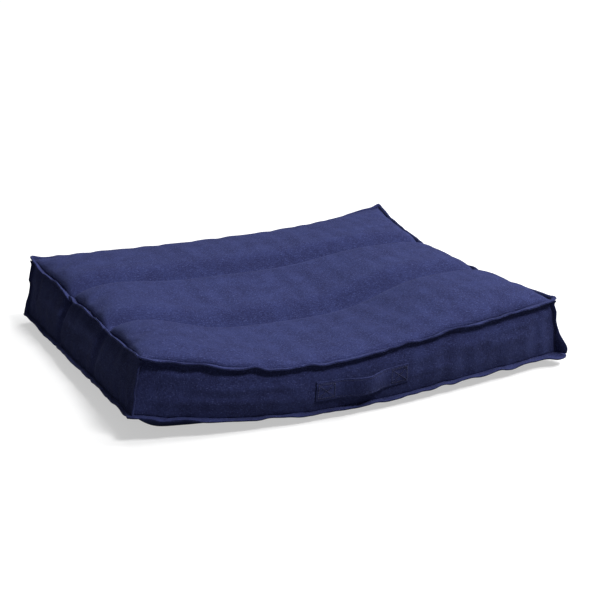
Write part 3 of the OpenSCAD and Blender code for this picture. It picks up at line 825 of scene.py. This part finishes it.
# ---- Insert ----
def insert_bag():
    u, v = denser_at_ends(60), denser_at_ends(54)
    w = np.linspace(0, 1, 9)
    for name, level, node, flip in (
        ("insert_upper", 1, "insert_top", False), ("insert_lower", 0, "insert_bottom", True),
    ):
        grid = settled(u[:, None], v[None, :], level, INSERT_IN)
        cloth_panel(name, grid, INSERT_T, LINING, "insert_cloth", [node], flip=flip)
    ring = [(a, -1) for a in u[:-1]] + [(1, b) for b in v[:-1]]
    ring = np.array(ring + [(-a, -b) for a, b in ring])
    grid = settled(ring[:, :1], ring[:, 1:], w[None, :], INSERT_IN)
    faces = cells(*grid.shape[:2], ring=True)
    band = mesh_piece("insert_side_band", grid, faces, LINING, "insert_cloth", ["insert_band"])
    thick = band.modifiers.new("thickness", "SOLIDIFY")
    thick.thickness, thick.offset = INSERT_T, -1
    lines = []
    for level in (0, 1):
        path = settled(ring[:, 0], ring[:, 1], level, INSERT_IN)
        path[:, 2] += 0.0003 * (1 if level else -1)
        lines.append(stitches(np.concatenate([path, path[:1]]), (0, 0, 1 if level else -1), 0.005))
    for q in (-WALL_V, WALL_V):
        lines.append(stitches(settled(u[2:-2], q, 1, INSERT_IN) + [0, 0, 0.0003], (0, 0, 1), 0.005))
    mesh_piece("insert_stitching", *joined(lines), THREAD, "thread")


def insert_wall(name, v, node, seed):
    """An inner wall, slack enough to ripple."""
    u = denser_at_ends(90)[:, None]
    w = np.linspace(0, 1, 13)[None, :]
    depth = tuple(a + INSERT_T for a in INSERT_IN)
    grid = settled(u, v, w, depth)
    grid[..., 1] += 0.0005 * np.sin(np.pi * w) * drift(grid[..., 0] + 3, 0.05, seed)
    cloth_panel(name, grid, 0.0008, LINING, "insert_cloth", [node])


def fibre_fill(name, low, high, node, seed):
    """The fibre of one chamber, lumpy as teased wadding is."""
    nu, nv, nw = 70, 22, 8
    i, j, k = np.meshgrid(np.arange(nu + 1), np.arange(nv + 1), np.arange(nw + 1), indexing="ij")
    outside = (i % nu == 0) | (j % nv == 0) | (k % nw == 0)
    number = np.full(outside.shape, -1)
    number[outside] = np.arange(outside.sum())
    u = denser_at_ends(nu)[i[outside]]
    v = low + (high - low) * (denser_at_ends(nv)[j[outside]] + 1) / 2
    w = k[outside] / nw
    points = settled(u, v, w, FIBRE_IN)
    middle = points.mean(0)
    tuft = lumps(points[:, 0] + 3, points[:, 1] + points[:, 2] + 3, 0.03, seed)
    points -= (0.0012 + 0.0012 * tuft)[:, None] * unit(points - middle)
    mesh_piece(name, points, lattice_faces(number), FIBRE, "fibre", [node])


# ---- Studio ----
def studio():
    mesh = bpy.data.meshes.new("floor")
    mesh.from_pydata([(-30, -30, 0), (30, -30, 0), (30, 30, 0), (-30, 30, 0)], [], [(0, 1, 2, 3)])
    floor = bpy.data.objects.new("floor", mesh)
    bpy.context.scene.collection.objects.link(floor)
    f = Finish("studio_floor", Specular_IOR_Level=0.1)
    # It looks white, but throws little light back on the bed's sides
    seen = f.node("ShaderNodeLightPath", output="Is Camera Ray")
    pale = f.mix(f.ramp(f.noise((3, 3, 3)), 0.3, 0.7), (0.51, 0.51, 0.51, 1), (0.53, 0.53, 0.53, 1))
    f.colour(f.mix(seen, (0.2, 0.2, 0.2, 1), pale))
    f.glow(f.mix(seen, (0, 0, 0, 1), (0.5, 0.5, 0.5, 1)))
    mesh.materials.append(f.material)

    for name, kind, energy, spread, place in (
        ("key", "SUN", 1.35, math.radians(36), (0.42, 0.24, 1.0)),
        ("front", "SUN", 2.35, math.radians(13), (1.15, -1.9, 3.3)),
        ("side", "AREA", 155, 2.4, (2.8, -0.5, 3.1)),
    ):
        light = bpy.data.lights.new(name, kind)
        light.energy = energy
        if kind == "SUN":
            light.angle = spread
        else:
            light.shape, light.size = "DISK", spread
        lamp = bpy.data.objects.new(name, light)
        bpy.context.scene.collection.objects.link(lamp)
        lamp.location = place
        lamp.rotation_euler = (-lamp.location).to_track_quat("-Z", "Y").to_euler()

    world = bpy.data.worlds.new("studio")
    bpy.context.scene.world = world
    world.use_nodes = True
    world.node_tree.nodes["Background"].inputs["Color"].default_value = (0.95, 0.97, 1, 1)
    world.node_tree.nodes["Background"].inputs["Strength"].default_value = 0.16

    data = bpy.data.cameras.new("camera")
    data.lens, data.sensor_width = 78.0, 36.0
    camera = bpy.data.objects.new("camera", data)
    bpy.context.scene.collection.objects.link(camera)
    camera.location = (-1.1422, -2.4141, 0.9709)
    turn, dip = 0.451774, 0.312242
    look = Vector((math.sin(turn) * math.cos(dip), math.cos(turn) * math.cos(dip), -math.sin(dip)))
    camera.rotation_euler = look.to_track_quat("-Z", "Y").to_euler()
    bpy.context.scene.camera = camera
    bpy.context.scene.view_settings.view_transform = "Standard"


def build():
    points, number, steps = cover_lattice()
    points = filled_cover(points, number, steps)
    cover_panels(points, number)
    # Angles above level at the left, the front, the right and the back
    angles = (40, 10, 42, 50)
    seam_flange("upper_seam_flange", points, number, NW, angles, TOP_CLOTH, "upper_flange", 31)
    angles = (-14, -12, -14, -18)
    seam_flange("lower_seam_flange", points, number, 0, angles, FRONT_CLOTH, "lower_flange", 41, [DOG_EAR])
    for name, i, j, seed, length, flare in (
        ("front_left", 0, 0, 51, 0.008, 0.001), ("front_right", -1, 0, 55, 0.012, 0.017),
        ("back_left", 0, -1, 59, 0.010, 0.004), ("back_right", -1, -1, 63, 0.010, 0.002),
    ):
        corner_flange(name, points, number, i, j, seed, length, flare)
    for side in (-1, 1):
        handle_half(side)
        zip_row(side)
    zip_slider()
    zip_pull()
    for node, finish in (("zip_upper_tape", TAPE), ("zip_lower_tape", TAPE), ("zip_stops", METAL)):
        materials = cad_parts[node].data.materials
        materials.clear()
        materials.append(finish)
    insert_bag()
    insert_wall("insert_front_wall", -WALL_V, "front_baffle", 71)
    insert_wall("insert_back_wall", WALL_V, "back_baffle", 73)
    gap = 0.006
    fibre_fill("fibre_front", -1, -WALL_V - gap, "front_fill", 81)
    fibre_fill("fibre_middle", -WALL_V + gap, WALL_V - gap, "middle_fill", 83)
    fibre_fill("fibre_back", WALL_V + gap, 1, "back_fill", 85)


build()
studio()
